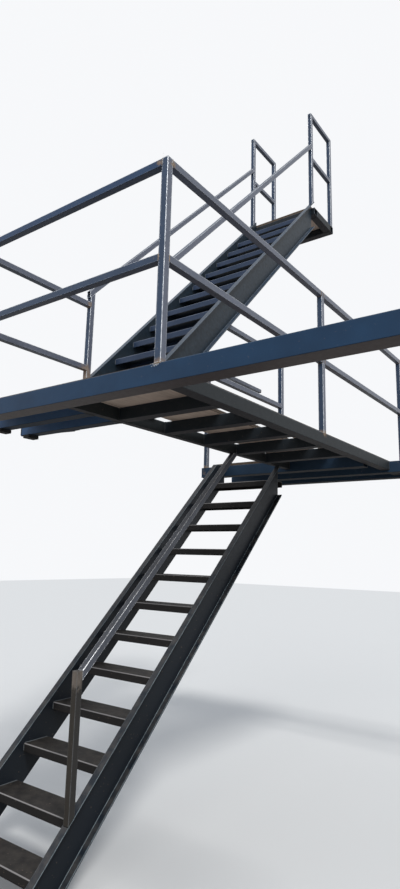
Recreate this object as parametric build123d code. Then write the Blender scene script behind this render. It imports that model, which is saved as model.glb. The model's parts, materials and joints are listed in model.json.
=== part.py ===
from build123d import *
import math
import os

# Two-flight outdoor steel stair with a raised walkway between the flights.
# X runs across the stair (+X towards its open side), Y runs the way both
# flights climb, Z is up. The origin is the middle of the underside
# of the near stringer's foot plate, on the ground. Millimetres.

# Levels.
RISER = 200.0
N1 = 12                   # treads of the lower flight
N2 = 13                   # treads of the upper flight
PANEL_T = 25.0            # plywood walking panels
STEEL_TOP = (N1 + 1) * RISER    # top of every walkway beam
DECK = STEEL_TOP + PANEL_T
UPPER_DECK = DECK + (N2 + 1) * RISER
UPPER_STEEL = UPPER_DECK - PANEL_T

# Sections.
BEAM_H, BEAM_W, BEAM_T = 96.0, 108.0, 5.0       # two channels welded to a box
JOIST_H, JOIST_W, JOIST_T = 75.0, 74.0, 4.0     # walkway side and joists
EDGE_W = 47.0                                   # narrower member at the stairwell
SHS, SHS_T = 38.0, 2.5                          # posts and rails
CH_D, CH_B, CH_TW, CH_TF = 205.0, 45.0, 6.0, 7.0    # stringer channel

# Plan, across.
TREAD_W = 664.0
NEAR_WEB = -25.0                    # tread side of the near web
WALL_WEB = NEAR_WEB - TREAD_W       # tread side of the far web
NEAR_TIP = NEAR_WEB + CH_B
WALL_TIP = WALL_WEB - CH_B
WALL_FACE = -800.0                  # inner edge of the bearing under the beams
WALL_END = WALL_FACE - 112.0        # where beams end on that bearing
GUARD_FACE = 757.0                  # outer face of the guard and its side member
SIDE_R = (GUARD_FACE - JOIST_W, GUARD_FACE)
EDGE_FACE = -39.0                   # stairwell face of the narrow side member
SIDE_L = (EDGE_FACE, EDGE_FACE + EDGE_W)
FRONT_END = 2375.0                  # far end of the front and rear beams
GUARD_X = (GUARD_FACE - SHS, GUARD_FACE)
WELL_X = (EDGE_FACE + 4, EDGE_FACE + 4 + SHS)
HEADER_END = WALL_END - 46.0        # the header runs further on over it
CROSS_END = WALL_END + 30.0         # the cross beam stops shorter
END_X = (HEADER_END + 23, HEADER_END + 23 + SHS)
NEWEL_X = (WALL_TIP, WALL_TIP + SHS)
RAIL_X = (-SHS / 2, SHS / 2)

# Lower flight.
GO1 = 208.9
NOSE1 = 42.0              # front of the first tread
DEPTH1 = 184.5
LIFT1 = 45.0              # stringer edge above the first tread's nose, vertically
LIFT1_TOP = 64.0          # and above the last tread's
HAND_UP = 676.0           # middle of the handrail above that edge, vertically
S1 = RISER / GO1 + (LIFT1_TOP - LIFT1) / ((N1 - 1) * GO1)
V1 = CH_D * math.sqrt(1 + S1 * S1)

# Plan, along.
FRONT_FACE = -101.0       # front face of the front beam
HEAD_GAP = 55.2           # from where one more tread would start to the header beam
HEAD_BAY = 318.0          # clear way from the header beam to the cross beam
BACK_BAY = 238.0          # from the cross beam to the back beam
REAR_BAY = 169.0          # from the back beam to the plane where the stair ends
HEAD_FACE = NOSE1 + N1 * GO1 + HEAD_GAP
CROSS_FACE = HEAD_FACE + BEAM_W + HEAD_BAY
BACK_FACE = CROSS_FACE + BEAM_W + BACK_BAY
FRONT_Y = (FRONT_FACE, FRONT_FACE + BEAM_W)
HEAD_Y = (HEAD_FACE, HEAD_FACE + BEAM_W)
CROSS_Y = (CROSS_FACE, CROSS_FACE + BEAM_W)
BACK_Y = (BACK_FACE, BACK_FACE + BEAM_W)
REAR_Y = BACK_Y[1] + REAR_BAY
NEAR_CUT = 170.0          # near stringer's plumb cut, short of the header beam
NEAR_END = HEAD_FACE - NEAR_CUT
TRIMMER_Y = 195.0
MID_POST_Y = 1672.0       # middle post of the right guard
WALK_Y = [850.0, 1290.0, 1722.0, 2175.0]

# Upper flight.
GO2 = 192.0
LIFT = 42.0               # stringer edge above the nosing line, vertically
NOSE2 = 679.0
DEPTH2 = 170.0
S2 = RISER / GO2
V2 = CH_D * math.sqrt(1 + S2 * S2)
FOOT2_T = 10.0            # plates under the upper flight's stringers
TOE2 = NOSE2 + (STEEL_TOP + FOOT2_T - DECK - RISER - LIFT) / S2
TOE_SEAT = 14.28          # the joist below starts this far before the stringers' toes
FIRST_Y = TOE2 - TOE_SEAT
LAND_Y = (NOSE2 + N2 * GO2, REAR_Y)
U1_BEFORE = 52.0          # first post of the upper guard, short of the landing
U1_Y = LAND_Y[0] - U1_BEFORE
END_GAP = 12.0            # from its last post to that plane
U2_Y = REAR_Y - END_GAP - SHS
NEWEL2_IN = 104.0         # upper newels stand this far in from the first nose
WELL_GAP = 134.0          # stairwell post, short of the header beam
HAND2_UP = 686.0          # middle of the upper handrails above the stringer edge, vertically

LIP = 48.0                # tread lips
TREAD_T = 4.0

# Guards.
TOP_RAIL = DECK + 1032.0
MID_RAIL = DECK + 524.0
WELL_TOP = DECK + 924.0
WELL_MID = DECK + 467.0
UP_TOP = UPPER_DECK + 1080.0
UP_MID = UPPER_DECK + 553.0
SIDE_TOP = DECK + 965.0
SIDE_MID = DECK + 472.0
SEAM = 4.0                # gap between walking panels
FRONT_SEAM = 522.0        # joint between the two larger front panels
BOARD_X = 97.0            # walkway board's edge line, carried back to y = 0
BOARD_W = 377.0
SLOT = 89.0               # open slot between the walkway's two boards
SKEW = 0.0372             # the boards lie a little askew: across for each along

parts = {}


def box(x, y, z):
    return Pos((x[0] + x[1]) / 2, (y[0] + y[1]) / 2, (z[0] + z[1]) / 2) * Box(
        x[1] - x[0], y[1] - y[0], z[1] - z[0])


def hollow(x, y, z, t, axis):
    """A rectangular tube along one axis, open at both ends."""
    cut = [list(x), list(y), list(z)]
    for i, span in enumerate(cut):
        grow = 1.0 if i == "xyz".index(axis) else -t
        span[0] -= grow
        span[1] += grow
    return box(x, y, z) - box(*cut)


def plate(points, x0, x1):
    """A flat shape drawn in the YZ plane and carried from x0 to x1."""
    face = make_face(Polyline([(0, a, b) for a, b in points], close=True))
    return Pos(x0, 0, 0) * extrude(face, amount=x1 - x0, dir=(1, 0, 0))


def top1(y):
    return RISER + LIFT1 + S1 * (y - NOSE1)


def top2(y):
    return DECK + RISER + LIFT + S2 * (y - NOSE2)


def channel(outline, top, slope, depth_v, web, tip):
    """Stringer: the outline as a solid slab, then the pocket between flanges."""
    lo, hi = -2000.0, 6000.0
    flange_v = CH_TF * math.sqrt(1 + slope * slope)
    pocket = [(lo, top(lo) - flange_v), (hi, top(hi) - flange_v),
              (hi, top(hi) - depth_v + flange_v), (lo, top(lo) - depth_v + flange_v)]
    inner = web + math.copysign(CH_TW, tip - web)
    a, b = sorted((web, tip))
    c, d = sorted((inner, tip + math.copysign(1.0, tip - web)))
    return plate(outline, a, b) - plate(pocket, c, d)


def slope_tube(x, outline, inner):
    return plate(outline, *x) - plate(inner, x[0] + SHS_T, x[1] - SHS_T)


def post(x, y, z0, z1, slope0=0.0, slope1=0.0):
    """Square tube standing up; its ends may be cut to a slope."""
    dy = y[1] - y[0]
    outer = [(y[0], z0), (y[1], z0 + slope0 * dy), (y[1], z1 + slope1 * dy), (y[0], z1)]
    e = 40.0
    t = SHS_T
    core = [(y[0] + t, z0 - e), (y[1] - t, z0 - e), (y[1] - t, z1 + e), (y[0] + t, z1 + e)]
    return plate(outer, *x) - plate(core, x[0] + t, x[1] - t)


def tread(y, z, depth):
    """Folded tray with a rounded nose, open below and at both ends."""
    outer = box((WALL_WEB, NEAR_WEB), (y, y + depth), (z - LIP, z))
    inner = box((WALL_WEB - 1, NEAR_WEB + 1), (y + TREAD_T, y + depth - TREAD_T),
                (z - LIP - 1, z - TREAD_T))
    body = outer - inner
    long_edges = body.edges().filter_by(Axis.X)
    out = [e for e in long_edges if abs(e.center().Z - z) < 0.01]
    body = fillet(out, 6.0)
    inn = [e for e in body.edges().filter_by(Axis.X)
           if abs(e.center().Z - (z - TREAD_T)) < 0.01]
    return fillet(inn, 2.5)


# Walkway steel.
front_z = (STEEL_TOP - BEAM_H, STEEL_TOP)
joist_z = (STEEL_TOP - JOIST_H, STEEL_TOP)
parts["front_beam"] = hollow((WALL_END, FRONT_END), FRONT_Y, front_z, BEAM_T, "x")
parts["header_beam"] = hollow((HEADER_END, SIDE_R[0]), HEAD_Y, front_z, BEAM_T, "x")
parts["cross_beam"] = hollow((CROSS_END, FRONT_END), CROSS_Y, front_z, BEAM_T, "x")
parts["back_beam"] = hollow((WALL_END, FRONT_END), BACK_Y, front_z, BEAM_T, "x")
parts["walkway_side_right"] = [
    hollow(SIDE_R, y, joist_z, JOIST_T, "y")
    for y in ((FRONT_Y[1], CROSS_Y[0]), (CROSS_Y[1], BACK_Y[0]))]
parts["walkway_side_left"] = hollow(SIDE_L, (FRONT_Y[1], HEAD_Y[0]), joist_z, JOIST_T, "y")
parts["walkway_joists"] = [
    hollow((SIDE_L[1], SIDE_R[0]), (y, y + JOIST_W), joist_z, JOIST_T, "x")
    for y in [FIRST_Y] + WALK_Y]
parts["wall_joists"] = [
    hollow((WALL_END, x_end), (y, y + JOIST_W), joist_z, JOIST_T, "x")
    for y, x_end in ((TRIMMER_Y, SIDE_L[0]), (FIRST_Y, SIDE_L[0]))]
parts["packing_blocks"] = [
    box((WALL_FACE - 80.0, WALL_FACE - 23.0), (y - 5, y + JOIST_W + 5), (front_z[0], joist_z[0]))
    for y in (TRIMMER_Y, FIRST_Y)]

# Walking panels.
panel_z = (STEEL_TOP, DECK)
front_panel_y = (FRONT_Y[0] + 50.0, TOE2 - 5.0)
walk_panel_y = (front_panel_y[1] + SEAM, HEAD_Y[0] + 52.0)
rear_panel_y = (walk_panel_y[1] + SEAM, BACK_Y[1] - SHS - 6.0)
panel_edge = GUARD_X[0] - 2.0


def board(left, right):
    """Walkway board whose long edges are given by their x at both ends."""
    a, b = walk_panel_y
    corners = [(left[0], a), (right[0], a), (right[1], b), (left[1], b)]
    face = make_face(Polyline([(x, y, panel_z[0]) for x, y in corners], close=True))
    return extrude(face, amount=PANEL_T, dir=(0, 0, 1))


def askew(x):
    """Where a board's edge line that passes x at y = 0 meets the board's two ends."""
    return [x - SKEW * y for y in walk_panel_y]


rear_seam = askew(BOARD_X)[1]
parts["walking_panels"] = [
    box((WALL_FACE + 6, SIDE_L[1] + 16), front_panel_y, panel_z),
    box((SIDE_L[1] + 16 + SEAM, FRONT_SEAM), front_panel_y, panel_z),
    box((FRONT_SEAM + SEAM, panel_edge), front_panel_y, panel_z),
    board(askew(BOARD_X), askew(BOARD_X + BOARD_W)),
    board(askew(BOARD_X + BOARD_W + SLOT), (panel_edge, panel_edge)),
    box((WALL_FACE + 6, rear_seam - SEAM), (HEAD_Y[0] + 6, rear_panel_y[1]), panel_z),
    box((rear_seam, panel_edge), rear_panel_y, panel_z)]

# Lower flight.
foot_z = 8.0
foot_y = -150.0


def low_outline(lid, end):
    """Stringer's side: level at the foot and at the lid, plumb at both ends."""
    return [(foot_y, foot_z), (foot_y, top1(foot_y)),
            (NOSE1 + (lid - RISER - LIFT1) / S1, lid), (end, lid), (end, top1(end) - V1),
            (NOSE1 + (foot_z + V1 - RISER - LIFT1) / S1, foot_z)]


parts["lower_stringer_near"] = channel(low_outline(joist_z[0], NEAR_END),
                                       top1, S1, V1, NEAR_WEB, NEAR_TIP)
parts["lower_stringer_wall"] = channel(low_outline(STEEL_TOP, HEAD_Y[0]),
                                       top1, S1, V1, WALL_WEB, WALL_TIP)
for k in range(N1):
    parts["lower_tread_%02d" % (k + 1)] = tread(NOSE1 + k * GO1, RISER * (k + 1), DEPTH1)

hole = 7.0
near_plate = box((-55.0, 55.0), (-160.0, 160.0), (0.0, foot_z))
for x in (-40.0, 40.0):
    for y in (-135.0, 135.0):
        near_plate -= Pos(x, y, foot_z / 2) * Cylinder(hole, foot_z + 2)
wall_plate = box((WALL_WEB - 50, WALL_WEB + 60), (-160.0, 160.0), (0.0, foot_z))
for y in (-135.0, 135.0):
    wall_plate -= Pos(WALL_WEB + 40, y, foot_z / 2) * Cylinder(hole, foot_z + 2)
parts["foot_plates"] = [near_plate, wall_plate]

# Handrail of the lower flight: newel on the near stringer, rail up to the
# underside of the walkway's side member.
newel_y = (198.0, 198.0 + SHS)
hr_half = SHS / 2 * math.sqrt(1 + S1 * S1)


def hr(y):
    return top1(y) + HAND_UP


newel_top = hr(newel_y[1]) + hr_half
parts["lower_newel"] = post(RAIL_X, newel_y, top1(newel_y[0]), newel_top, S1, 0.0)
lid = joist_z[0]
y_top = newel_y[1] + (lid - newel_top) / S1
y_bot = y_top + 2 * hr_half / S1
t_v = SHS_T * math.sqrt(1 + S1 * S1)
parts["lower_handrail"] = slope_tube(
    RAIL_X,
    [(newel_y[1], hr(newel_y[1]) - hr_half), (newel_y[1], newel_top),
     (y_top, lid), (y_bot, lid)],
    [(newel_y[1] - 50, hr(newel_y[1] - 50) - hr_half + t_v),
     (newel_y[1] - 50, hr(newel_y[1] - 50) + hr_half - t_v),
     (y_bot + 50, hr(y_bot + 50) + hr_half - t_v),
     (y_bot + 50, hr(y_bot + 50) - hr_half + t_v)])

# Walkway guards. Posts run to the rails' tops and the rails butt on them.
top_z = (TOP_RAIL - SHS, TOP_RAIL)
mid_z = (MID_RAIL - SHS, MID_RAIL)
p1 = (FRONT_Y[0], FRONT_Y[0] + SHS)
p2 = (MID_POST_Y, MID_POST_Y + SHS)
p3 = (BACK_Y[1] - SHS, BACK_Y[1])
ph = (HEAD_Y[0], HEAD_Y[0] + SHS)
well_post = (HEAD_Y[0] - WELL_GAP, HEAD_Y[0] - WELL_GAP + SHS)
newel2 = (NOSE2 + NEWEL2_IN, NOSE2 + NEWEL2_IN + SHS)
parts["guard_posts"] = [
    post(x, y, STEEL_TOP, TOP_RAIL)
    for x, y in ((GUARD_X, p1), (GUARD_X, p2), (GUARD_X, p3), (NEWEL_X, p1), (END_X, ph))]
parts["guard_posts"].append(post(WELL_X, well_post, STEEL_TOP, WELL_TOP))
parts["guard_top_rail_right"] = [
    hollow(GUARD_X, (p1[1], p2[0]), top_z, SHS_T, "y"),
    hollow(GUARD_X, (p2[1], p3[0]), top_z, SHS_T, "y")]
parts["guard_mid_rails"] = [
    hollow(GUARD_X, (p1[1], p2[0]), mid_z, SHS_T, "y"),
    hollow(GUARD_X, (p2[1], p3[0]), mid_z, SHS_T, "y"),
    hollow((NEWEL_X[1], GUARD_X[0]), p1, mid_z, SHS_T, "x")]
parts["guard_top_rail_front"] = hollow((NEWEL_X[1], GUARD_X[0]), p1, top_z, SHS_T, "x")
parts["guard_rails_wall_side"] = [
    hollow(NEWEL_X, (p1[1], newel2[0]), (SIDE_TOP - SHS, SIDE_TOP), SHS_T, "y"),
    hollow(NEWEL_X, (p1[1], newel2[0]), (SIDE_MID - SHS, SIDE_MID), SHS_T, "y"),
    hollow(END_X, (ph[1], LAND_Y[1]), top_z, SHS_T, "y"),
    hollow(END_X, (ph[1], LAND_Y[1]), mid_z, SHS_T, "y")]


def low2(z):
    return NOSE2 + (z + V2 - DECK - RISER - LIFT) / S2


def well_rail(z, y_end):
    t = SHS_T
    lo, hi = z - SHS, z
    return slope_tube(
        WELL_X, [(low2(lo), lo), (low2(hi), hi), (y_end, hi), (y_end, lo)],
        [(low2(lo) - 60, lo + t), (low2(lo) - 60, hi - t), (y_end + 10, hi - t), (y_end + 10, lo + t)])


parts["guard_rails_stairwell"] = [
    well_rail(WELL_TOP, well_post[0]),
    well_rail(WELL_MID, well_post[0])]

# Upper flight.
foot2 = STEEL_TOP + FOOT2_T
up_pts = [(NOSE2 + (foot2 - DECK - RISER - LIFT) / S2, foot2),
          (LAND_Y[0], top2(LAND_Y[0])), (LAND_Y[0], top2(LAND_Y[0]) - V2), (low2(foot2), foot2)]
parts["upper_stringer_near"] = channel(up_pts, top2, S2, V2, NEAR_WEB, NEAR_TIP)
parts["upper_stringer_wall"] = channel(up_pts, top2, S2, V2, WALL_WEB, WALL_TIP)
parts["upper_treads"] = [tread(NOSE2 + k * GO2, DECK + RISER * (k + 1), DEPTH2)
                         for k in range(N2)]
bracket_y = (TOE2 - 1.0, low2(foot2) + 24.0)
parts["upper_foot_plates"] = [
    box((WALL_TIP - 5, WALL_WEB + 5), bracket_y, (STEEL_TOP, foot2)),
    box((NEAR_WEB - 5, NEAR_TIP + 5), bracket_y, (STEEL_TOP, foot2))]
parts["upper_foot_gusset"] = plate(
    [(FIRST_Y + JOIST_W, STEEL_TOP - 70), (FIRST_Y + JOIST_W, STEEL_TOP),
     (bracket_y[1] - 20, STEEL_TOP), (bracket_y[1] - 20, STEEL_TOP - 10)],
    WALL_WEB - 27, WALL_WEB - 19)

# Handrails of the upper flight.
ur_half = SHS / 2 * math.sqrt(1 + S2 * S2)
ut_v = SHS_T * math.sqrt(1 + S2 * S2)


def ur(y):
    return top2(y) + HAND2_UP


u1 = (U1_Y, U1_Y + SHS)
u2 = (U2_Y, U2_Y + SHS)


def up_rail(x, y0, y1):
    return slope_tube(
        x, [(y0, ur(y0) - ur_half), (y0, ur(y0) + ur_half),
            (y1, ur(y1) + ur_half), (y1, ur(y1) - ur_half)],
        [(y0 - 50, ur(y0 - 50) - ur_half + ut_v), (y0 - 50, ur(y0 - 50) + ur_half - ut_v),
         (y1 + 50, ur(y1 + 50) + ur_half - ut_v), (y1 + 50, ur(y1 + 50) - ur_half + ut_v)])


parts["upper_handrails"] = [up_rail(x, newel2[0] - 10, u1[0]) for x in (NEWEL_X, RAIL_X)]
parts["upper_newels"] = [post(x, newel2, top2(newel2[0]), ur(newel2[0]) - ur_half, S2, S2)
                         for x in (NEWEL_X, RAIL_X)]

# Upper landing.
up_top = (UP_TOP - SHS, UP_TOP)
up_mid = (UP_MID - SHS, UP_MID)
land_z = (UPPER_STEEL - JOIST_H, UPPER_STEEL)
back = LAND_Y[1] - JOIST_W
parts["upper_landing_frame"] = [
    hollow((WALL_TIP, NEAR_TIP), (LAND_Y[0], LAND_Y[0] + JOIST_W), land_z, JOIST_T, "x"),
    hollow((WALL_TIP, NEAR_TIP), (back, LAND_Y[1]), land_z, JOIST_T, "x")]
parts["upper_landing_sides"] = [
    hollow((x, x + JOIST_W), (LAND_Y[0] + JOIST_W, back), land_z, JOIST_T, "y")
    for x in (WALL_TIP, NEAR_TIP - JOIST_W)]
parts["upper_landing_panel"] = box((NEWEL_X[1] + 2, RAIL_X[0] - 2), (LAND_Y[0] + 2, back + 6),
                                   (UPPER_STEEL, UPPER_DECK))
parts["upper_guard_posts"] = []
parts["upper_guard_rails"] = []
for x in (NEWEL_X, RAIL_X):
    parts["upper_guard_posts"] += [
        post(x, u1, top2(u1[0]), up_top[0], S2, 0.0),
        post(x, u2, UPPER_STEEL, up_top[0])]
    parts["upper_guard_rails"] += [
        hollow(x, (u1[0], u2[1]), up_top, SHS_T, "y"),
        hollow(x, (u1[1], u2[0]), up_mid, SHS_T, "y")]

os.makedirs("parts", exist_ok=True)
for name, shape in parts.items():
    if isinstance(shape, list):
        shape = Compound(children=[s.solid() for s in shape])
    else:
        shape = shape.solid()
    shape.label = name
    export_step(shape, "parts/%s.step" % name)
print(len(parts), "nodes")
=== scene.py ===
# %% [markdown]
# An outdoor steel stair, dressed for a render.
#
# Two straight flights climb one above the other, and a raised plywood walkway
# goes round the opening between them. A small welding shop made it from stock
# sections: square tube, rectangular tube, channel and folded sheet. The shapes
# arrive as a fixed frame; this lesson adds what such a shop leaves on them:
# brushed enamel, weld beads, rust where the paint burned, caps, bolts, screws.
# Lengths are in metres. X runs across the stair, Y along it and Z up.

# %% Load the frame
import json
import math
import random

import bmesh
import bpy
from mathutils import Matrix, Vector


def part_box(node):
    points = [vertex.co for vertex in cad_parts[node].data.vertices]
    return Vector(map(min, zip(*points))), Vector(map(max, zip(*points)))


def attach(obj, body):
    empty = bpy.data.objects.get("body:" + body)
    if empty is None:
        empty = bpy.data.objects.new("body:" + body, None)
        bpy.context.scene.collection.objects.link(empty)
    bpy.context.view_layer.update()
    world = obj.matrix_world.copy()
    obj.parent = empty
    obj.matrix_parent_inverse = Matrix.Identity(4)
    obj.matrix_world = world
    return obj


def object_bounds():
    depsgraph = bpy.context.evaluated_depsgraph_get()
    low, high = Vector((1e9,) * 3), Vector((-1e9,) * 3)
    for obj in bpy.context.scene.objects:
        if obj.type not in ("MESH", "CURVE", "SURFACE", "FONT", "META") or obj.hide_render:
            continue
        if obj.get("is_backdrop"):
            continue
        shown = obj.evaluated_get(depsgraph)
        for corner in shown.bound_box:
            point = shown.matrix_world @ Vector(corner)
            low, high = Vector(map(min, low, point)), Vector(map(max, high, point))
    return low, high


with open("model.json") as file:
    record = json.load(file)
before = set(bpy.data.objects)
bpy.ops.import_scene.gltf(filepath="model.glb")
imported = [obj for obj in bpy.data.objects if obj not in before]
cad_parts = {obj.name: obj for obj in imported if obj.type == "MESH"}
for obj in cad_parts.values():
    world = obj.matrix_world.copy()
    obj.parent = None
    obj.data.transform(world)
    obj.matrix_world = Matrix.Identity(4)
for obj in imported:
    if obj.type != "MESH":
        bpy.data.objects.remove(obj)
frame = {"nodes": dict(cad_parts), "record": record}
cad_low, cad_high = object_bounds()
print("the stair measures", [round(b - a, 3) for a, b in zip(cad_low, cad_high)], "m")

# %% [markdown]
# The camera stands low beside the foot of the stair and looks up at it. Its
# place and angles come from the lines of the stair itself: level rails meet in
# one vanishing point, posts in another. Aiming it at a target would be quicker,
# but would leave out the small roll. Turning the camera about Z, then lifting it,
# then rolling it gives the three directions of its view.

# %% Camera
EYE = Vector((2.4185, -2.0517, 1.7334))
TURN, LIFT, ROLL = (math.radians(a) for a in (36.182, 10.867, 1.391))
FOCAL_PX, FRAME_PX = 588.17, 400
SENSOR_MM = 36.0

ahead = Vector((-math.sin(TURN) * math.cos(LIFT), math.cos(TURN) * math.cos(LIFT), math.sin(LIFT)))
side = Vector((math.cos(TURN), math.sin(TURN), 0))
up = side.cross(ahead)
right = math.cos(ROLL) * side + math.sin(ROLL) * up
top = math.cos(ROLL) * up - math.sin(ROLL) * side

lens = bpy.data.cameras.new("camera")
lens.sensor_fit = "HORIZONTAL"
lens.sensor_width = SENSOR_MM
lens.lens = FOCAL_PX * SENSOR_MM / FRAME_PX
camera = bpy.data.objects.new("camera", lens)
camera.matrix_world = Matrix.Translation(EYE) @ Matrix((right, top, -ahead)).transposed().to_4x4()
bpy.context.scene.collection.objects.link(camera)
bpy.context.scene.camera = camera
bpy.context.scene.view_settings.view_transform = "Standard"
print("lens", round(lens.lens, 1), "mm")

# %% [markdown]
# Three small helpers carry every material in this file. The first turns a colour
# that is written as it looks on a screen into the linear light that shaders add
# up. The second adds one node with its settings and its links, so that a shader
# reads as a list of steps, and the third gives an empty material to start from.
# Patterns are sized in millimetres, by what they stand for on the real stair.

# %% Colour and node helpers
MM = 0.001
COLOUR_MIX = {"data_type": "RGBA"}


def tint(code):
    """Linear colour from an sRGB hex code."""
    parts = [int(code[i:i + 2], 16) / 255 for i in (0, 2, 4)]
    return [c / 12.92 if c <= 0.04045 else ((c + 0.055) / 1.055) ** 2.4 for c in parts] + [1.0]


def add(tree, kind, settings=None, **sockets):
    """One node; sockets are named i0, i1 by number, or by name with _ for a space."""
    made = tree.nodes.new(kind)
    for key, value in (settings or {}).items():
        setattr(made, key, value)
    for key, value in sockets.items():
        numbered = key[0] == "i" and key[1:].isdigit()
        socket = made.inputs[int(key[1:])] if numbered else made.inputs[key.replace("_", " ")]
        if isinstance(value, bpy.types.NodeSocket):
            tree.links.new(value, socket)
        else:
            socket.default_value = value
    return made


def empty_material(name):
    """A new material and its cleared node tree."""
    material = bpy.data.materials.new(name)
    material.use_nodes = True
    material.node_tree.nodes.clear()
    return material, material.node_tree


print("navy as light:", [round(c, 3) for c in tint("204465")[:3]])

# %% [markdown]
# The studio is a pale floor under a plain white surround. Real daylight would
# light the steel unevenly, so one even tone is used. It is white only for the
# camera and for reflections; what it sheds on the steel is softer and slightly
# cool, as shade outdoors is.

# %% Surround
SHED_STRENGTH = 0.62
SEEN_TONE = (0.93, 0.94, 0.96, 1)

world = bpy.data.worlds.new("studio")
bpy.context.scene.world = world
world.use_nodes = True
air = world.node_tree
air.nodes.clear()
path = add(air, "ShaderNodeLightPath")
seen = add(air, "ShaderNodeMath", {"operation": "MAXIMUM"}, i0=path.outputs["Is Camera Ray"],
           i1=path.outputs["Is Transmission Ray"])
seen = add(air, "ShaderNodeMath", {"operation": "MAXIMUM"}, i0=seen.outputs[0],
           i1=path.outputs["Is Glossy Ray"])
shed = add(air, "ShaderNodeBackground", Color=tint("e6eefa"), Strength=SHED_STRENGTH)
shown = add(air, "ShaderNodeBackground", Color=SEEN_TONE, Strength=1.0)
both = add(air, "ShaderNodeMixShader", i0=seen.outputs[0], i1=shed.outputs[0], i2=shown.outputs[0])
add(air, "ShaderNodeOutputWorld", Surface=both.outputs[0])
print("surround sheds", SHED_STRENGTH)

# %% [markdown]
# The floor is pale for the camera alone. To the steel above it is a middle grey,
# or it would fill the undersides with light and flatten them. One sun lights the
# stair's open side, so the two visible faces of a tube differ in tone. A weaker
# one, three times as wide, fills the front. Area lights would fade along a stair
# this long, so both are suns: a strength, the angle they span, and a turn.

# %% Floor and lights
FLOOR_SIDE, FLOOR_BACK = 30, 34
SUNS = {"key": (1.55, 0.20, (0.30, 0.62, 0.0)), "fill": (0.55, 0.60, (1.15, 0.0, 0.35))}

floor_mesh = bpy.data.meshes.new("floor")
floor_mesh.from_pydata([(-FLOOR_SIDE, -FLOOR_SIDE, 0), (FLOOR_SIDE, -FLOOR_SIDE, 0),
                        (FLOOR_SIDE, FLOOR_BACK, 0), (-FLOOR_SIDE, FLOOR_BACK, 0)], [], [(0, 1, 2, 3)])
floor = bpy.data.objects.new("floor", floor_mesh)
bpy.context.scene.collection.objects.link(floor)
floor_paint, tree = empty_material("pale matt floor")
path = add(tree, "ShaderNodeLightPath")
pale = add(tree, "ShaderNodeBsdfDiffuse", Color=tint("e4e3e0"))
dim = add(tree, "ShaderNodeBsdfDiffuse", Color=tint("98958f"))
both = add(tree, "ShaderNodeMixShader", i0=path.outputs["Is Camera Ray"], i1=dim.outputs[0],
           i2=pale.outputs[0])
add(tree, "ShaderNodeOutputMaterial", Surface=both.outputs[0])
floor_mesh.materials.append(floor_paint)
floor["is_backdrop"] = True

for name, (strength, angle, turn) in SUNS.items():
    sun = bpy.data.lights.new(name, "SUN")
    sun.energy = strength
    sun.angle = angle
    holder = bpy.data.objects.new(name, sun)
    holder.rotation_euler = turn
    bpy.context.scene.collection.objects.link(holder)
print(len(SUNS), "suns")

# %% [markdown]
# The stair is mild steel under solvent enamel, brushed on by hand: navy on the
# first beam, a greyer navy on the rest. Enamel is a clear resin full of pigment,
# so it is not metallic and its IOR is about 1.5.
#
# Outdoors it ages in a set order: dust settles on what faces up, rust blooms beside
# the welds, where the heat spoiled the coat, and corners lose paint first. Light is
# painted in as well: faces turned to the key sun are painted greyer and lighter,
# corners that face up and out carry a painted highlight, those that face down a
# painted shade, and undersides a painted tone of their own. A painted map could show
# that on one part only. A mask that reads a surface's place and the way it faces
# serves every steel part, so each step here is one mask.
#
# The film itself comes first. The brush left patches and finer streaks in it.
# Undersides take a painted tone of their own: painted shade where it is darker than
# the coat, painted light where it is paler.

# %% The paint film
PATCH, STREAK = 180 * MM, 25 * MM


def paint_film(tree, place, facing, streak, deep, lift, sunlit_side_tone, underside_shading):
    """Colour of the coat with its painted light and shade, before dust, rust and corners."""
    patch = add(tree, "ShaderNodeTexNoise", Vector=place, Scale=1 / PATCH, Detail=3.0)
    coat = add(tree, "ShaderNodeMix", COLOUR_MIX, i0=patch.outputs["Fac"], i6=tint(deep), i7=tint(lift))
    # Painted light: faces turned to +X, the side the key sun lights, take a greyer, lighter tone, broken up
    # by the streaks.
    facing_key_sun = add(tree, "ShaderNodeMapRange", Value=facing["X"], From_Min=0.3, From_Max=0.9)
    broken = add(tree, "ShaderNodeMapRange", Value=streak, From_Min=0.25, From_Max=0.75, To_Min=0.7)
    sunlit_side_mask = add(tree, "ShaderNodeMath", {"operation": "MULTIPLY"}, i0=facing_key_sun.outputs[0],
                  i1=broken.outputs[0])
    coat = add(tree, "ShaderNodeMix", COLOUR_MIX, i0=sunlit_side_mask.outputs[0], i6=coat.outputs[2],
               i7=tint(sunlit_side_tone))
    # Painted shade and light: faces turned down take the underside tone.
    underside_shading_mask = add(tree, "ShaderNodeMapRange", Value=facing["Z"], From_Min=-0.4, From_Max=-0.9)
    coat = add(tree, "ShaderNodeMix", COLOUR_MIX, i0=underside_shading_mask.outputs[0], i6=coat.outputs[2],
               i7=tint(underside_shading))
    return coat.outputs[2]


print("patches", round(PATCH / MM), "mm, streaks", round(STREAK / MM), "mm")

# %% [markdown]
# Dust is a grey brown powder. It lies only on what faces up, and rain carries it
# off in runs, so it stays in patches a hand's breadth apart. The way a face turns
# gives the first mask, noise of that size the second.

# %% Dust
DUST = tint("948a7e")
DUST_PATCH = 60 * MM


def lying_dust(tree, place, facing, dust):
    """Mask of the dust on what faces up."""
    settled = add(tree, "ShaderNodeTexNoise", Vector=place, Scale=1 / DUST_PATCH, Detail=4.0)
    level = add(tree, "ShaderNodeMapRange", Value=facing["Z"], From_Min=0.45, From_Max=0.95)
    lying = add(tree, "ShaderNodeMapRange", Value=settled.outputs["Fac"], From_Min=0.35,
                From_Max=0.7, To_Max=dust)
    lying = add(tree, "ShaderNodeMath", {"operation": "MULTIPLY"}, i0=level.outputs[0],
                i1=lying.outputs[0])
    return lying.outputs[0]


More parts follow.
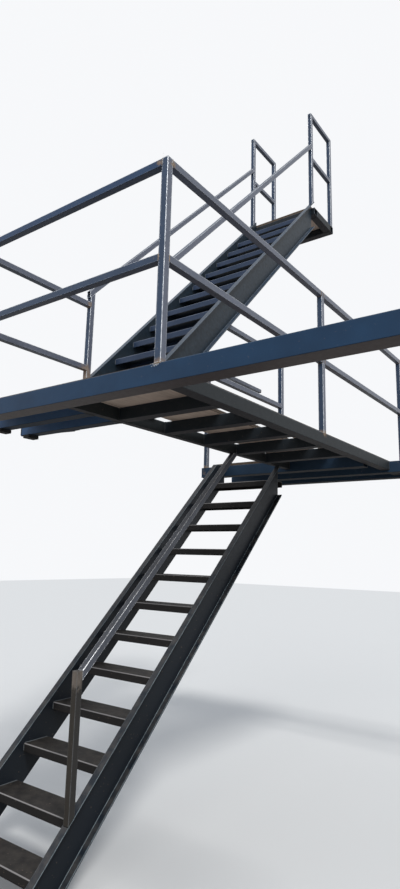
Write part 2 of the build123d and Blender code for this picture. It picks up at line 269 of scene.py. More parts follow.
print("dust patches", round(DUST_PATCH / MM), "mm")

# %% [markdown]
# Rust needs a way through the paint. It finds one in rare small specks, round a
# few bad welds, and in the band above a post's foot where the heat of welding
# burned the coat. The distance to a named spot gives a round bloom; noise added
# to that distance makes its edge ragged.

# %% Rust
SPECK, RAGGED = 12 * MM, 20 * MM
BAND_TOP, BAND_BASE = 40 * MM, 20 * MM
# Shares of a bloom's radius: how far its edge wanders, where it ends, where it is full.
FRAY, FADE, SOLID = 1.2, 1.5, 1.05


def rust_marks(tree, place, rust, spots, foot):
    """Mask of the rust: specks everywhere, blooms at the spots, and a band above the foot."""
    speck = add(tree, "ShaderNodeTexNoise", Vector=place, Scale=1 / SPECK, Detail=2.0)
    bloom = add(tree, "ShaderNodeMapRange", Value=speck.outputs["Fac"], From_Min=0.70,
                From_Max=0.76, To_Max=rust).outputs[0]
    ragged = add(tree, "ShaderNodeTexNoise", Vector=place, Scale=1 / RAGGED, Detail=3.0).outputs["Fac"]
    for x, y, z, radius in spots:
        away = add(tree, "ShaderNodeVectorMath", {"operation": "DISTANCE"}, i0=place, i1=(x, y, z))
        edge = add(tree, "ShaderNodeMath", {"operation": "MULTIPLY_ADD"}, i0=ragged,
                   i1=radius * FRAY, i2=away.outputs["Value"])
        near = add(tree, "ShaderNodeMapRange", Value=edge.outputs[0], From_Min=radius * FADE,
                   From_Max=radius * SOLID, To_Max=0.85)
        bloom = add(tree, "ShaderNodeMath", {"operation": "MAXIMUM"}, i0=bloom,
                    i1=near.outputs[0]).outputs[0]
    if foot is not None:
        height = add(tree, "ShaderNodeSeparateXYZ", Vector=place)
        rise = add(tree, "ShaderNodeMath", {"operation": "MULTIPLY_ADD"}, i0=ragged,
                   i1=RAGGED, i2=height.outputs["Z"])
        creep = add(tree, "ShaderNodeMapRange", Value=rise.outputs[0], From_Min=foot + BAND_TOP,
                    From_Max=foot + BAND_BASE, To_Max=0.9)
        bloom = add(tree, "ShaderNodeMath", {"operation": "MAXIMUM"}, i0=bloom,
                    i1=creep.outputs[0]).outputs[0]
    return bloom


print("specks", round(SPECK / MM), "mm")

# %% [markdown]
# Rolled tube has corners of about 5 mm radius. The frame's corners are sharp, so
# a Bevel node rounds the shading there, a little wider than real; rounding the
# meshes would cost many faces for a line this thin. Where the rounded and the
# true normal part, there is a corner. Corners that face up or outwards are painted
# pale, partly worn paint and partly a painted highlight, which draws the bright
# line along the edge of each post. Corners that face down get a painted shade, a dark line.

# %% Worn corners with painted highlight and painted shade
BEND = 6 * MM
# Painted shade: the dark line on corners that face down.
SHADED_CORNER = tint("0c131e")
# Corners turned this way get the strongest painted highlight.
HIGHLIGHT_SIDE = (0.60, -0.55, 0.58)
LEANING_FORWARD = (0.0, -0.707, 0.707)


def shaded_and_highlit_corners(tree, normal, rounded, streak, wear, folded):
    """Masks of the painted shade on corners that face down, and of the painted highlight and wear on the
    others.
    """
    agree = add(tree, "ShaderNodeVectorMath", {"operation": "DOT_PRODUCT"}, i0=rounded, i1=normal)
    corner = add(tree, "ShaderNodeMapRange", Value=agree.outputs["Value"], From_Min=0.985, From_Max=0.90)
    turned = add(tree, "ShaderNodeSeparateXYZ", Vector=rounded)
    # Painted shade: corners that face down get a dark line.
    down = add(tree, "ShaderNodeMapRange", Value=turned.outputs["Z"], From_Min=-0.1, From_Max=-0.35)
    painted_corner_shade = add(tree, "ShaderNodeMath", {"operation": "MULTIPLY"}, i0=corner.outputs[0],
               i1=down.outputs[0])
    upward = add(tree, "ShaderNodeMath", {"operation": "SUBTRACT"}, i0=corner.outputs[0],
                 i1=painted_corner_shade.outputs[0])
    # The painted highlight is strongest on corners turned towards +X, low y and up.
    towards_highlight_side = add(tree, "ShaderNodeVectorMath", {"operation": "DOT_PRODUCT"}, i0=rounded, i1=HIGHLIGHT_SIDE)
    highlight_strength = add(tree, "ShaderNodeMapRange", Value=towards_highlight_side.outputs["Value"], From_Min=0.2,
                 From_Max=0.7, To_Min=0.25)
    worn_and_highlit_corner = add(tree, "ShaderNodeMapRange", Value=streak, From_Min=0.30, From_Max=0.50,
               To_Min=wear * 0.5, To_Max=wear)
    worn_and_highlit_corner = add(tree, "ShaderNodeMath", {"operation": "MULTIPLY"}, i0=worn_and_highlit_corner.outputs[0],
               i1=highlight_strength.outputs[0])
    worn_and_highlit_corner = add(tree, "ShaderNodeMath", {"operation": "MULTIPLY"}, i0=upward.outputs[0],
               i1=worn_and_highlit_corner.outputs[0])
    if folded:
        # A bend is wide enough to have faces of its own, which lean forward by 45 degrees; they take the
        # pale wear and painted highlight as well.
        lean = add(tree, "ShaderNodeVectorMath", {"operation": "DOT_PRODUCT"}, i0=normal,
                   i1=LEANING_FORWARD)
        bend_wear_and_highlight = add(tree, "ShaderNodeMapRange", Value=lean.outputs["Value"], From_Min=0.80,
                    From_Max=0.90, To_Max=wear)
        worn_and_highlit_corner = add(tree, "ShaderNodeMath", {"operation": "MAXIMUM"}, i0=bend_wear_and_highlight.outputs[0],
                   i1=worn_and_highlit_corner.outputs[0])
    return painted_corner_shade.outputs[0], worn_and_highlit_corner.outputs[0]


print("corners rounded by", round(BEND / MM), "mm")

# %% [markdown]
# Now the steps are laid over each other in order: the film with its painted light
# and shade, dust, rust, the painted shade on corners that face down, and the pale
# corners, part worn paint and part painted highlight. Dust and rust are matt, the
# brushed resin is not, so the same masks drive the roughness. Weather has etched the
# resin's skin, and it mirrors its surroundings half as strongly as a new coat would.
# The brush marks are 7 mm apart and under 0.4 mm deep, coarser than real, so that
# they show.

# %% Brushed enamel on mild steel
ENAMEL_IOR = 1.5
ETCHED_MIRROR = 0.25
MATT, STREAK_ROUGH = 0.85, 0.16
BRUSH_MARK, BRUSH_DEPTH = 7 * MM, 0.4 * MM


def enamel(name, deep, lift, sunlit_side_tone, underside_shading, dust=0.35, rust=0.35, gloss=0.34, wear=0.4,
           line="a9b5c4", bare=False, folded=False, spots=(), foot=None,
           burn=("6a564a", "b4a08b")):
    """Aged brushed enamel. deep and lift are the two tones of the coat, sunlit_side_tone the
    painted light on faces turned to the key sun, underside_shading the painted tone of
    undersides (painted shade where darker than the coat, painted light where paler), line
    the painted highlight and wear on corners, and burn the two tones of rust. spots are
    (x, y, z, radius) where rust has bloomed, foot is the height of a weld that rust creeps
    up from, bare says that the pale corners are metallic as well, and folded that the
    front bend of a folded tread takes the pale wear and painted highlight of a corner."""
    material, tree = empty_material(name)
    place = add(tree, "ShaderNodeTexCoord").outputs["Object"]
    normal = add(tree, "ShaderNodeNewGeometry").outputs["True Normal"]
    facing = add(tree, "ShaderNodeSeparateXYZ", Vector=normal).outputs
    streak = add(tree, "ShaderNodeTexNoise", Vector=place, Scale=1 / STREAK, Detail=2.0).outputs["Fac"]
    rounded = add(tree, "ShaderNodeBevel", {"samples": 4}, Radius=BEND).outputs[0]

    coat = paint_film(tree, place, facing, streak, deep, lift, sunlit_side_tone, underside_shading)
    dusty = lying_dust(tree, place, facing, dust)
    rusty = rust_marks(tree, place, rust, spots, foot)
    painted_corner_shade, worn_and_highlit_corner = shaded_and_highlit_corners(tree, normal, rounded, streak, wear, folded)
    brown = add(tree, "ShaderNodeMix", COLOUR_MIX, i0=streak, i6=tint(burn[0]), i7=tint(burn[1]))
    # Painted shade on corners that face down, then the painted highlight and wear on the others.
    for mask, colour in ((dusty, DUST), (rusty, brown.outputs[2]), (painted_corner_shade, SHADED_CORNER),
                         (worn_and_highlit_corner, tint(line))):
        coat = add(tree, "ShaderNodeMix", COLOUR_MIX, i0=mask, i6=coat, i7=colour).outputs[2]

    matt = add(tree, "ShaderNodeMath", {"operation": "MAXIMUM"}, i0=dusty, i1=rusty)
    rough = add(tree, "ShaderNodeMapRange", Value=matt.outputs[0], To_Min=gloss, To_Max=MATT)
    rough = add(tree, "ShaderNodeMath", {"operation": "MULTIPLY_ADD"}, i0=streak, i1=STREAK_ROUGH,
                i2=rough.outputs[0])
    marks = add(tree, "ShaderNodeTexNoise", Vector=place, Scale=1 / BRUSH_MARK, Detail=1.0)
    relief = add(tree, "ShaderNodeBump", Strength=0.35, Distance=BRUSH_DEPTH,
                 Height=marks.outputs["Fac"], Normal=rounded)
    shader = add(tree, "ShaderNodeBsdfPrincipled", Base_Color=coat, Roughness=rough.outputs[0],
                 IOR=ENAMEL_IOR, Specular_IOR_Level=ETCHED_MIRROR, Normal=relief.outputs[0])
    if bare:
        tree.links.new(worn_and_highlit_corner, shader.inputs["Metallic"])
    add(tree, "ShaderNodeOutputMaterial", Surface=shader.outputs[0])
    return material


print("one recipe for all the enamel")

# %% [markdown]
# The walkway's steel has several tones, as if it came from several tins. The
# front beam is the bluest, the beams behind it are darker, the two short joists
# are a lighter copy of the navy, painted light for the light that reaches them, and
# the joists under the boards are nearly grey. One recipe with other tones is truer
# than tinting one material, since the painted sunlit side, the painted underside
# tone and the pale corners differ as well. A few spots rusted, and they are named here.

# %% Enamels on the walkway's steel
CORNER_POST_FOOT = (0.738, -0.09, 2.605, 0.022)
MIDDLE_POST_FOOT = (0.745, 1.69, 2.605, 0.04)
HEADER_TIP = (-0.93, 2.65, 2.55, 0.06)

front_navy = enamel("navy enamel on the front beam", "102b45", "204465", "3c4c60", "4a4143",
                    dust=0.5, rust=0.10, wear=0.3, spots=[CORNER_POST_FOOT])
beam_navy = enamel("navy enamel on the other beams", "1d3044", "284158", "343c44", "0e1824",
                   dust=0.4, gloss=0.55, wear=0.35, spots=[HEADER_TIP])
# Painted light: a lighter copy of the navy, for the light that reaches the wall joists.
wall_navy_lit = enamel("faded navy enamel on the wall joists", "3a5478", "48688f", "4c5a6c", "1c2a3c",
                   dust=0.4, gloss=0.50, wear=0.35)
frame_navy = enamel("grey navy enamel on joists and side members", "1c2329", "272e34", "292d2f",
                    "333237", dust=0.4, gloss=0.50, spots=[MIDDLE_POST_FOOT])
plate_navy = enamel("enamel on foot plates", "2a3644", "364352", "4b5158", "2a3644", dust=0.6, rust=0.7)
print("five enamels on the walkway")

# %% [markdown]
# The flights differ from the walkway. Channels of the upper one are a grey blue,
# those of the lower one nearly black, with pale edges of worn paint and painted
# highlight. The lower treads are brown black, and pale at the bend, where every shoe
# lands: partly worn paint, partly a painted highlight. A mask on the way that bend
# faces does it, so all the treads of a flight share one material.

# %% Enamels on the flights
upper_navy = enamel("grey blue enamel on the upper channels", "2a3b4c", "36495c", "1b252c", "10171d",
                    dust=0.35, wear=0.5)
upper_tread = enamel("grey blue enamel on the upper treads", "303f56", "3e4c64", "1b252c", "16232f",
                     dust=0.35, wear=0.5, line="8f98a8", folded=True)
lower_navy = enamel("blue black enamel on the lower channels", "161d26", "202831", "1e2329", "0d1218",
                    dust=0.32, wear=0.75, line="a3b4ba")
tread_brown = enamel("brown black enamel on folded treads", "1b1a19", "2a2726", "3b3532", "1a1715",
                     dust=0.09, rust=0.6, gloss=0.60, wear=1.0, line="8e8a88", folded=True)
print("four enamels on the flights")

# %% [markdown]
# Square tube is what hands hold, so its enamel is the smoothest. Its corners carry
# a near-white line, worn paint and a painted highlight, and there the mask drives
# Metallic as well, so the edge mirrors light as metal does. Only the front rail kept
# its bright navy, the right guard's top rail has painted light on its underside, and
# the lower newel is an olive grey.
# Welds rusted where rails meet the upper newel, at the top of the corner post,
# and along the feet of the posts.

# %% Enamels on square tube
STEEL_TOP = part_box("front_beam")[1].z
CORNER_BLOOMS = [(0.76, -0.06, 3.63, 0.028), (0.70, -0.10, 3.64, 0.02)]
UPPER_NEWEL_BLOOMS = [(-0.715, 0.77, 3.03, 0.095), (-0.715, 0.77, 3.57, 0.035)]
LOWER_NEWEL_HEAD = (0.0, 0.2, 1.10, 0.075)
TUBE_TONES = ("2f3d4f", "42546f", "6c707c")
# The near-white line colour is a painted highlight on the tube's corners.
TUBE_AGE = {"dust": 0.4, "gloss": 0.26, "wear": 1.0, "line": "eef2f6", "bare": True}

tube_navy = enamel("navy enamel on square tube", *TUBE_TONES, "525b6c",
                   spots=CORNER_BLOOMS + UPPER_NEWEL_BLOOMS, foot=STEEL_TOP, **TUBE_AGE)
# Painted light: the same enamel as the other tube, with a paler underside tone.
right_navy_lit_below = enamel("navy enamel on the right guard's top rail", *TUBE_TONES, "686f80",
                    spots=CORNER_BLOOMS, **TUBE_AGE)
rail_navy = enamel("bright navy enamel on the front rail", "22395a", "2c4a6c", "6c707c", "525b6c",
                   dust=0.4, gloss=0.30, wear=0.8, line="c8ccd4", spots=CORNER_BLOOMS)
hand_grey = enamel("grey enamel on the lower handrail", "3a3d44", "4c5058", "62656d", "1c1f25",
                   dust=0.2, gloss=0.26, wear=1.0, line="f4f6f8", bare=True)
newel_olive = enamel("olive grey enamel on the lower newel", "2f2c28", "413c36", "363534", "14181e",
                     dust=0.2, wear=0.8, line="7c7e80", spots=[LOWER_NEWEL_HEAD],
                     burn=("5c544d", "8d8278"))
print("five enamels on tube, whose feet stand at", round(STEEL_TOP, 3), "m")

# %% [markdown]
# The walking surface is shuttering plywood: softwood veneers in phenolic glue,
# with a reddish brown face. From below the face shows wide wavy grain, and along
# the sawn edge light and dark veneers alternate. A photograph of wood would
# repeat and has no edge, so noise stretched along the board gives the grain, and
# a wave in height, seen only on upright edges, the plies. Real veneers are about
# 2 mm thick; here a light and a dark one measure 10 mm together, so they show.

# %% Grain, stain and plies
GRAIN_WIDE, GRAIN_LONG, GRAIN_DEEP = 22 * MM, 400 * MM, 20 * MM
STAIN = 250 * MM
PLY_PAIR = 9.869 * MM
WAVE_TURNS = 20 / math.tau    # a wave node makes this many waves in one unit

plywood, tree = empty_material("shuttering plywood")
place = add(tree, "ShaderNodeTexCoord").outputs["Object"]
along = add(tree, "ShaderNodeMapping", Vector=place,
            Scale=(1 / GRAIN_WIDE, 1 / GRAIN_LONG, 1 / GRAIN_DEEP))
grain = add(tree, "ShaderNodeTexNoise", Vector=along.outputs[0], Scale=1.0, Detail=4.0, Distortion=0.6)
veneer = add(tree, "ShaderNodeMix", COLOUR_MIX, i0=grain.outputs["Fac"], i6=tint("bda498"),
             i7=tint("f2e0d2"))
stain = add(tree, "ShaderNodeTexNoise", Vector=place, Scale=1 / STAIN, Detail=3.0)
stained = add(tree, "ShaderNodeMapRange", Value=stain.outputs["Fac"], From_Min=0.45, From_Max=0.75,
              To_Max=0.4)
face = add(tree, "ShaderNodeMix", COLOUR_MIX, i0=stained.outputs[0], i6=veneer.outputs[2],
           i7=tint("4e3f38"))
plies = add(tree, "ShaderNodeTexWave", {"bands_direction": "Z"}, Vector=place,
            Scale=1 / PLY_PAIR / WAVE_TURNS, Distortion=0.4)
edge = add(tree, "ShaderNodeMix", COLOUR_MIX, i0=plies.outputs["Fac"], i6=tint("332b25"),
           i7=tint("6a5846"))
print("grain", round(GRAIN_WIDE / MM), "mm wide")

# %% [markdown]
# Which of these shows depends on the way a face turns: the top is walked on and
# darker, the underside is clean veneer, and only upright faces show plies. Worn
# phenolic face is nearly matt, and its grain stands 0.6 mm proud at most.

# %% Shuttering plywood
facing = add(tree, "ShaderNodeSeparateXYZ",
             Vector=add(tree, "ShaderNodeNewGeometry").outputs["True Normal"])
above = add(tree, "ShaderNodeMath", {"operation": "GREATER_THAN"}, i0=facing.outputs["Z"], i1=0.5)
worn = add(tree, "ShaderNodeMix", {"data_type": "RGBA", "blend_type": "MULTIPLY"}, i0=above.outputs[0],
           i6=face.outputs[2], i7=tint("9a8c80"))
flat = add(tree, "ShaderNodeMath", {"operation": "ABSOLUTE"}, i0=facing.outputs["Z"])
wood = add(tree, "ShaderNodeMix", COLOUR_MIX, i0=flat.outputs[0], i6=edge.outputs[2], i7=worn.outputs[2])
relief = add(tree, "ShaderNodeBump", Strength=0.4, Distance=0.6 * MM, Height=grain.outputs["Fac"])
shader = add(tree, "ShaderNodeBsdfPrincipled", Base_Color=wood.outputs[2], Roughness=0.72, IOR=1.5,
             Normal=relief.outputs[0])
add(tree, "ShaderNodeOutputMaterial", Surface=shader.outputs[0])
print("plywood made of", len(tree.nodes), "nodes")

# %% [markdown]
# Weld metal is steel that froze as it was laid. Under one quick coat of paint it
# is lumpy and brown, and it catches more light than the smooth tube beside it.
# Fixings are bright zinc plate gone dull: a metal, so its colour is its mirror
# colour, metallic 1, and roughness does the rest. The packing blocks are softwood
# soaked in tar, almost black and quite matt. All of them are one mottle between
# two tones, so one recipe makes them: two tones, the mottle's size, how metallic
# it is and how rough.

# %% Weld metal, zinc and packing wood
LUMP_DEPTH = 0.8 * MM
ROUGH_SKINS = {
    "burnt weld bead": ("574437", "b89f7e", 14 * MM, 0.0, 0.5),
    "painted weld bead": ("171b20", "2e3338", 14 * MM, 0.0, 0.45),
    "dusty weld bead": ("3e4346", "6c7072", 20 * MM, 0.0, 0.6),
    "pale weld slag": ("a9adb0", "dde0e3", 4 * MM, 0.0, 0.6),
    "dull zinc plate": ("8b8d8e", "b9babb", 10 * MM, 1.0, 0.42),
    "tarred packing wood": ("14161a", "2a2826", 20 * MM, 0.0, 0.8)}


def mottled(name, low, high, size, metal, rough):
    """A lumpy skin that wanders between two tones."""
    material, tree = empty_material(name)
    place = add(tree, "ShaderNodeTexCoord").outputs["Object"]
    mottle = add(tree, "ShaderNodeTexNoise", Vector=place, Scale=1 / size, Detail=3.0)
    skin = add(tree, "ShaderNodeMix", COLOUR_MIX, i0=mottle.outputs["Fac"], i6=tint(low), i7=tint(high))
    relief = add(tree, "ShaderNodeBump", Strength=0.5, Distance=LUMP_DEPTH, Height=mottle.outputs["Fac"])
    shader = add(tree, "ShaderNodeBsdfPrincipled", Base_Color=skin.outputs[2], Roughness=rough,
                 Metallic=metal, Normal=relief.outputs[0])
    add(tree, "ShaderNodeOutputMaterial", Surface=shader.outputs[0])
    return material


weld_metal, painted_weld, dusty_weld, slag, zinc, packing = (
    mottled(name, *look) for name, look in ROUGH_SKINS.items())
print(len(ROUGH_SKINS), "mottled skins")

# %% [markdown]
# Each part of the frame now gets its finish. The parts have plain names, so the
# start of a name says which finish it takes: the first match wins, and whatever
# matches nothing is a joist or a side member.

# %% Give each part of the frame its finish
FINISHES = (("front_beam", front_navy), ("header_beam", beam_navy), ("cross_beam", beam_navy),
            ("back_beam", beam_navy), ("wall_joists", wall_navy_lit), ("packing", packing),
            ("foot_plates", plate_navy), ("upper_foot", plate_navy), ("lower_tread", tread_brown),
            ("lower_stringer", lower_navy), ("lower_newel", newel_olive),
            ("lower_handrail", hand_grey), ("guard_top_rail_front", rail_navy),
            ("guard_top_rail_right", right_navy_lit_below), ("guard", tube_navy), ("upper_guard", tube_navy),
            ("upper_newels", tube_navy), ("upper_handrails", tube_navy),
            ("upper_stringer", upper_navy), ("upper_treads", upper_tread))


def finish_of(name):
    """The material for a part of the frame, from its name."""
    if name.endswith(("panel", "panels")):
        return plywood
    return next((finish for start, finish in FINISHES if name.startswith(start)), frame_navy)


for name, part in frame["nodes"].items():
    if not part.material_slots:
        part.data.materials.append(None)
    for slot in part.material_slots:
        slot.material = finish_of(name)
print(len(frame["nodes"]), "parts finished")

# %% [markdown]
# A node of the frame may hold several solids, such as all the guard posts. To
# put a weld round each foot, the script needs each solid's own box. Typing the
# boxes in would go wrong as soon as a size changed, so they are read from the
# mesh. Two faces belong to one solid when they share an edge that no third face
# touches, so rails that only meet corner to corner stay apart.

# %% Boxes of the separate solids in a node
SNAP = 0.05 * MM


def solids(name):
    """List of (low, high) corners, one for each solid in a node."""
    mesh = frame["nodes"][name].data
    spot = [tuple(round(c / SNAP) for c in v.co) for v in mesh.vertices]
    sharers = {}
    for face in mesh.polygons:
        ring = list(face.vertices)
        for one, two in zip(ring, ring[1:] + ring[:1]):
            sharers.setdefault(frozenset((spot[one], spot[two])), []).append(face.index)
    owner = list(range(len(mesh.polygons)))

    def head(index):
        while owner[index] != index:
            owner[index] = owner[owner[index]]
            index = owner[index]
        return index

    for pair in sharers.values():
        if len(pair) == 2:
            owner[head(pair[0])] = head(pair[1])
    groups = {}
    for face in mesh.polygons:
        groups.setdefault(head(face.index), []).extend(mesh.vertices[v].co for v in face.vertices)
    boxes = [(Vector([min(p[i] for p in pts) for i in range(3)]),
              Vector([max(p[i] for p in pts) for i in range(3)])) for pts in groups.values()]
    return sorted(boxes, key=lambda b: tuple(b[0]))


print(len(solids("guard_posts")), "guard posts")

# %% [markdown]
# A stick weld is a row of overlapping puddles, one every 3 mm or so; 6 mm here,
# so that they show. Bump alone would leave the joint's outline straight, so the
# bead is real: a tube of rings whose size swells and shrinks. It is centred on
# the line where two parts meet, so half of it is buried and no care is needed
# about which way it faces.

# %% One weld bead
random.seed(7)
BEAD_R = 3.5 * MM
PUDDLE = 6 * MM
BEAD_SIDES = 6
NECK, UNEVEN = 0.82, 0.1    # a bead narrows to this share between puddles, and varies by this
END_SWELL = 0.35            # its two ends shrink to this share


def bead(mesh, start, end, radius=BEAD_R):
    """A rippled weld along a straight line, added to a bmesh."""
    start, end = Vector(start), Vector(end)
    run = end - start
    count = max(2, round(run.length / PUDDLE))
    across = run.orthogonal().normalized()
    other = run.normalized().cross(across)
    turns = [k * math.tau / BEAD_SIDES for k in range(BEAD_SIDES)]
    rings = []
    for i in range(count * 2 + 1):
        t = i / (count * 2)
        swell = (NECK if i % 2 else 1.0) * (1 - UNEVEN + 2 * UNEVEN * random.random())
        if i in (0, count * 2):
            swell = END_SWELL
        middle = start + run * t
        rings.append([mesh.verts.new(middle + (across * math.cos(a) + other * math.sin(a)) * radius * swell)
                      for a in turns])
    for one, two in zip(rings, rings[1:]):
        for k in range(BEAD_SIDES):
            nxt = (k + 1) % BEAD_SIDES
            mesh.faces.new((one[k], one[nxt], two[nxt], two[k])).smooth = True
    mesh.faces.new(rings[0][::-1])
    mesh.faces.new(rings[-1])


print("puddles", round(PUDDLE / MM), "mm apart")

# %% [markdown]
# A tube is welded all round its end, so four beads follow the rectangle where it
# lands. One helper finds that rectangle, which the caps need later too. One lays
# the loop, one does both ends of each tube, and the last turns finished mesh into
# a piece that rides with the stair. One mesh holds all the welds of a kind, since
# a piece for each bead would be slow to handle.

# %% Loops of weld, and pieces
def rectangle(low, high, axis, at, shrink=0.0):
    """Four corners of a box's section across one axis."""
    a, b = [i for i in range(3) if i != axis]
    corners = []
    for u, v in ((low[a] + shrink, low[b] + shrink), (high[a] - shrink, low[b] + shrink),
                 (high[a] - shrink, high[b] - shrink), (low[a] + shrink, high[b] - shrink)):
        point = [0.0, 0.0, 0.0]
        point[axis], point[a], point[b] = at, u, v
        corners.append(point)
    return corners


def loop(mesh, low, high, axis, at, radius=BEAD_R):
    """Welds round a rectangle that lies across one axis."""
    corners = rectangle(low, high, axis, at)
    for one, two in zip(corners, corners[1:] + corners[:1]):
        bead(mesh, one, two, radius)


def both_ends(mesh, name, radius):
    """Welds round both ends of each tube in a node."""
    for low, high in solids(name):
        axis = max(range(3), key=lambda i: high[i] - low[i])
        loop(mesh, low, high, axis, low[axis], radius)
        loop(mesh, low, high, axis, high[axis], radius)


def piece(name, mesh, material):
    """A finished mesh as an object that rides with the stair."""
    data = bpy.data.meshes.new(name)
    mesh.to_mesh(data)
    mesh.free()
    data.materials.append(material)
    made = bpy.data.objects.new(name, data)
    bpy.context.scene.collection.objects.link(made)
    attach(made, "root")
    print(name, len(data.polygons), "faces")


print("a foot measures", [round(b - a, 3) for a, b in zip(*solids("guard_posts")[0])][:2], "m")

# %% [markdown]
# The guards' welds were left burnt, and those of the walkway were painted over.
# The guards' rails are thin tube and take a finer bead than the joists.

# %% Welds on guards and walkway
RAIL_BEAD, JOIST_BEAD = 3 * MM, 4 * MM

welds = bmesh.new()
for low, high in solids("guard_posts"):
    loop(welds, low, high, 2, low.z)
for name in ("guard_top_rail_right", "guard_mid_rails", "guard_top_rail_front",
             "guard_rails_wall_side"):
    both_ends(welds, name, RAIL_BEAD)
piece("guard_welds", welds, weld_metal)

welds = bmesh.new()
for name in ("walkway_side_right", "walkway_side_left", "walkway_joists", "wall_joists",
             "upper_landing_sides"):
    both_ends(welds, name, JOIST_BEAD)
piece("walkway_welds", welds, painted_weld)

# %% [markdown]
# A stick electrode spits. Drops of steel and pale slag, 1 to 4 mm across, freeze
# on whatever lies round the joint, thickest close to it. Small round lumps half
# sunk in the surface give that, and a normal distribution crowds them near the
# weld as the real ones are. The corner post shows the most of them.

# %% Weld spatter
DROP, FINE_DROP = 1.8 * MM, 1.3 * MM
FACE_MIDDLE = 19 * MM                   # half of a post's width
FOOT_RISE = 4 * MM                      # drops lie this far above a foot
HEAD_DROP = 20 * MM                     # and this far below a post's top
ACROSS, UP_FOOT = 10 * MM, 4 * MM       # scatter near a foot, across a face and up it
AT_EDGE, DOWN_HEAD = 3 * MM, 12 * MM    # scatter near a top, off an edge and down it
SMALLEST, LARGEST = 0.4, 1.3            # shares of a drop's usual radius


def spatter(mesh, middle, spread, count, size=DROP):
    """Frozen drops round a point; spread is the scatter along x, y and z."""
    for _ in range(count):
        spot = Vector([random.gauss(m, s) if s else m for m, s in zip(middle, spread)])
        radius = size * random.uniform(SMALLEST, LARGEST)
        drop = bmesh.ops.create_icosphere(mesh, subdivisions=1, radius=radius)
        bmesh.ops.translate(mesh, verts=drop["verts"], vec=spot)


drops = bmesh.new()
posts = solids("guard_posts")
low, high = max(posts, key=lambda b: (round(b[0].x, 2), -b[0].y))
spatter(drops, (low.x + 10 * MM, low.y, low.z - 3 * MM), (11 * MM, 0, UP_FOOT), 90)
spatter(drops, (high.x, low.y + 20 * MM, low.z + FOOT_RISE), (0, ACROSS, UP_FOOT), 30)
spatter(drops, (high.x, high.y - 4 * MM, high.z - HEAD_DROP), (0, AT_EDGE, DOWN_HEAD), 25)
spatter(drops, (low.x + 4 * MM, low.y, high.z - HEAD_DROP), (AT_EDGE, 0, DOWN_HEAD), 20)
for low, high in posts:
    spatter(drops, (low.x + FACE_MIDDLE, low.y, low.z + FOOT_RISE), (ACROSS, 0, UP_FOOT), 14, FINE_DROP)
    spatter(drops, (high.x, low.y + FACE_MIDDLE, low.z + FOOT_RISE), (0, ACROSS, UP_FOOT), 14, FINE_DROP)
piece("weld_spatter", drops, slag)

# %% [markdown]
# A tread is welded to each channel by one run along its top and one up its
# front lip. Dust settles along the ripples, so these runs show paler than the
# tread. Nobody walks on them, so they are left raised.

# %% Tread welds
TOP_BEAD, LIP_BEAD = 4 * MM, 3.5 * MM
RUN_INSET = 6 * MM        # the top run stops short of both bends
LIP_FOOT, LIP_HEAD = 4 * MM, 8 * MM

welds = bmesh.new()
lower_treads = sorted(name for name in frame["nodes"] if name.startswith("lower_tread"))
trays = [box for name in lower_treads + ["upper_treads"] for box in solids(name)]
for low, high in trays:
    for x in (low.x, high.x):
        bead(welds, (x, low.y + RUN_INSET, high.z), (x, high.y - RUN_INSET, high.z), TOP_BEAD)
        bead(welds, (x, low.y, low.z + LIP_FOOT), (x, low.y, high.z - LIP_HEAD), LIP_BEAD)
piece("tread_welds", welds, dusty_weld)

# %% [markdown]
# Open tube ends are closed with a square of sheet, tacked on and filed flush. A
# closed end keeps rain out. A single face would show no rim, so the square is a
# thin plate with a small chamfer all round, which catches the light.

# %% Caps on posts and rails
CAP_T, END_T = 3 * MM, 4 * MM
CAP_INSET = 0.5 * MM
STRAIGHT, CHAMFER = 0.7, 0.4    # shares of the thickness: left straight, and drawn in
LONG_RAIL = 0.5                 # top rails are longer than this, middle rails shorter


def lid(mesh, low, high, axis, at, thick):
    """A chamfered plate across a tube's end; thick may be negative to go the other way."""
    layers = []
    for depth, shrink in ((0.0, CAP_INSET), (thick * STRAIGHT, CAP_INSET),
                          (thick, CAP_INSET + abs(thick) * CHAMFER)):
        layers.append([mesh.verts.new(p) for p in rectangle(low, high, axis, at + depth, shrink)])
    for one, two in zip(layers, layers[1:]):
        for k in range(4):
            mesh.faces.new((one[k], one[(k + 1) % 4], two[(k + 1) % 4], two[k]))
    mesh.faces.new(layers[0])
    mesh.faces.new(layers[-1])


caps = bmesh.new()
for low, high in solids("guard_posts"):
    lid(caps, low, high, 2, high.z, CAP_T)
for low, high in solids("upper_guard_rails"):
    if high.y - low.y > LONG_RAIL:
        lid(caps, low, high, 1, low.y, -CAP_T)
        lid(caps, low, high, 1, high.y, CAP_T)
bmesh.ops.recalc_face_normals(caps, faces=caps.faces)
piece("tube_caps", caps, tube_navy)

# %% [markdown]
# The beams are closed in the same way, with thicker sheet set into the end, so
# that the plate's face lies flush with the steel round it. Three of the beams
# reach the largest x of the whole stair, and are closed there as well. The other
# ends at high x lie hidden against steel, and need no plate.

# %% End plates of beams
caps = bmesh.new()
for name in ("front_beam", "cross_beam", "back_beam", "header_beam", "wall_joists"):
    for low, high in solids(name):
        lid(caps, low, high, 0, low.x + END_T, -END_T)
        if high.x > cad_high[0] - END_T:
            lid(caps, low, high, 0, high.x - END_T, END_T)
bmesh.ops.recalc_face_normals(caps, faces=caps.faces)
piece("beam_end_plates", caps, frame_navy)

# %% [markdown]
# The foot plates take 12 mm anchors, one in each hole that the frame's record
# states. Each shows a washer, a nut and five turns of thread above it. A nut is
# a six-sided prism whose corners are turned off at 30 degrees, which a ring of
# slightly smaller radius gives. A helix would cost many faces for so short a
# thread, so its crests and roots are plain rings, in turns 2 mm apart.

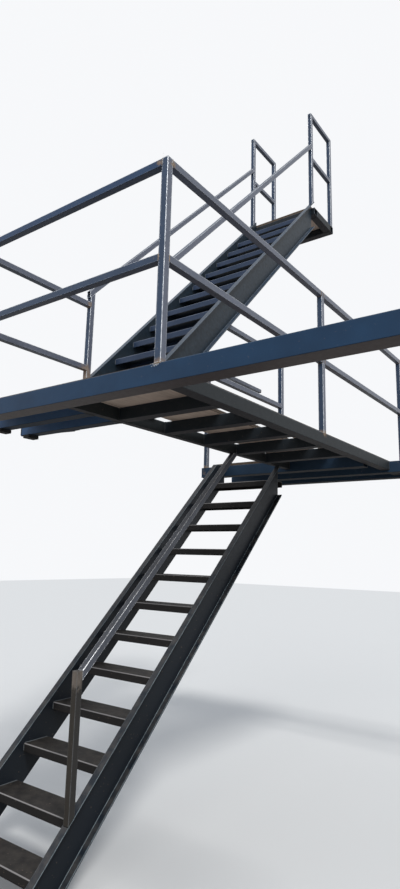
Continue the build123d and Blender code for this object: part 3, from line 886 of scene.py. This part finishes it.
# %% Anchor bolts
PLATE_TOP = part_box("foot_plates")[1].z
WASHER_R, WASHER_T = 12 * MM, 2.5 * MM
NUT_R, NUT_FACE_R, NUT_H, NUT_CHAMFER = 10.8 * MM, 9.5 * MM, 10 * MM, 1 * MM
CREST_R, ROOT_R, TIP_R = 6 * MM, 5.4 * MM, 4.8 * MM
THREAD_RINGS, RING_STEP = 10, 1 * MM


def stack(mesh, x, y, levels, sides, spin=0.0):
    """Rings of (height, radius) joined into one turned or faceted solid."""
    rings = []
    for z, radius in levels:
        rings.append([mesh.verts.new((x + radius * math.cos(spin + k * math.tau / sides),
                                      y + radius * math.sin(spin + k * math.tau / sides), z))
                      for k in range(sides)])
    for one, two in zip(rings, rings[1:]):
        for k in range(sides):
            mesh.faces.new((one[k], one[(k + 1) % sides], two[(k + 1) % sides], two[k]))
    mesh.faces.new(rings[0][::-1])
    mesh.faces.new(rings[-1])


def hole_places(mount):
    """Middles of a bolt pattern's holes, from its middle and its spacings."""
    middle_x, middle_y, _ = mount["pos_m"]
    half_x = mount["dims"].get("spacing_x_mm", 0) * MM / 2
    half_y = mount["dims"]["spacing_y_mm"] * MM / 2
    return [(x, middle_y + s * half_y) for x in sorted({middle_x - half_x, middle_x + half_x})
            for s in (-1, 1)]


bolts = bmesh.new()
patterns = [mount for mount in frame["record"]["mounts"] if mount["kind"] == "bolt_pattern"]
for x, y in [place for mount in patterns for place in hole_places(mount)]:
    base = PLATE_TOP + WASHER_T
    stack(bolts, x, y, [(PLATE_TOP, WASHER_R), (base, WASHER_R)], 24)
    head = base + NUT_H
    stack(bolts, x, y, [(base, NUT_FACE_R), (base + NUT_CHAMFER, NUT_R), (head - NUT_CHAMFER, NUT_R),
                        (head, NUT_FACE_R)], 6, random.random())
    thread = [(head + RING_STEP * k, CREST_R if k % 2 else ROOT_R) for k in range(THREAD_RINGS)]
    stack(bolts, x, y, thread + [(head + RING_STEP * (THREAD_RINGS + 1), TIP_R)], 16)
piece("anchor_bolts", bolts, zinc)

# %% [markdown]
# Each plywood panel is held by countersunk screws along the steel below it. A
# head is an 8 mm disc with a dip in its middle, set just into the veneer. Rows
# follow the middle of each joist and chosen lines on the beams, about 250 mm from
# screw to screw.

# %% Panel screws
# Millimetres from a beam's front edge to each row on it.
BEAM_LINES = {"front_beam": (61,), "header_beam": (26, 76), "cross_beam": (50,), "back_beam": (44,)}
SCREW_PITCH = 250 * MM
SIDE_INSET, ROW_INSET = 30 * MM, 12 * MM
HEAD = ((-1.0, 4.0), (0.3, 4.2), (0.6, 3.0), (-0.2, 1.4))    # height and radius in mm, rim to dip

heads = bmesh.new()
rows = [(low.y + high.y) / 2 for low, high in solids("walkway_joists")]
rows += [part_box(beam)[0].y + line * MM for beam, lines in BEAM_LINES.items() for line in lines]
for low, high in solids("walking_panels"):
    for y in rows:
        if low.y + ROW_INSET < y < high.y - ROW_INSET:
            count = max(2, round((high.x - low.x) / SCREW_PITCH) + 1)
            for k in range(count):
                x = low.x + SIDE_INSET + (high.x - low.x - 2 * SIDE_INSET) * k / (count - 1)
                stack(heads, x, y, [(high.z + z * MM, radius * MM) for z, radius in HEAD], 10)
piece("panel_screws", heads, zinc)

# %% [markdown]
# Welds and caps stand a few millimetres proud of the steel, and nothing should
# make the stair larger than it is. So the script notes the size of the frame and
# of the dressed model, for the two to be compared.

# %% Size of the dressed stair
low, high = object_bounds()
print("the dressed stair measures", [round(b - a, 3) for a, b in zip(low, high)], "m")
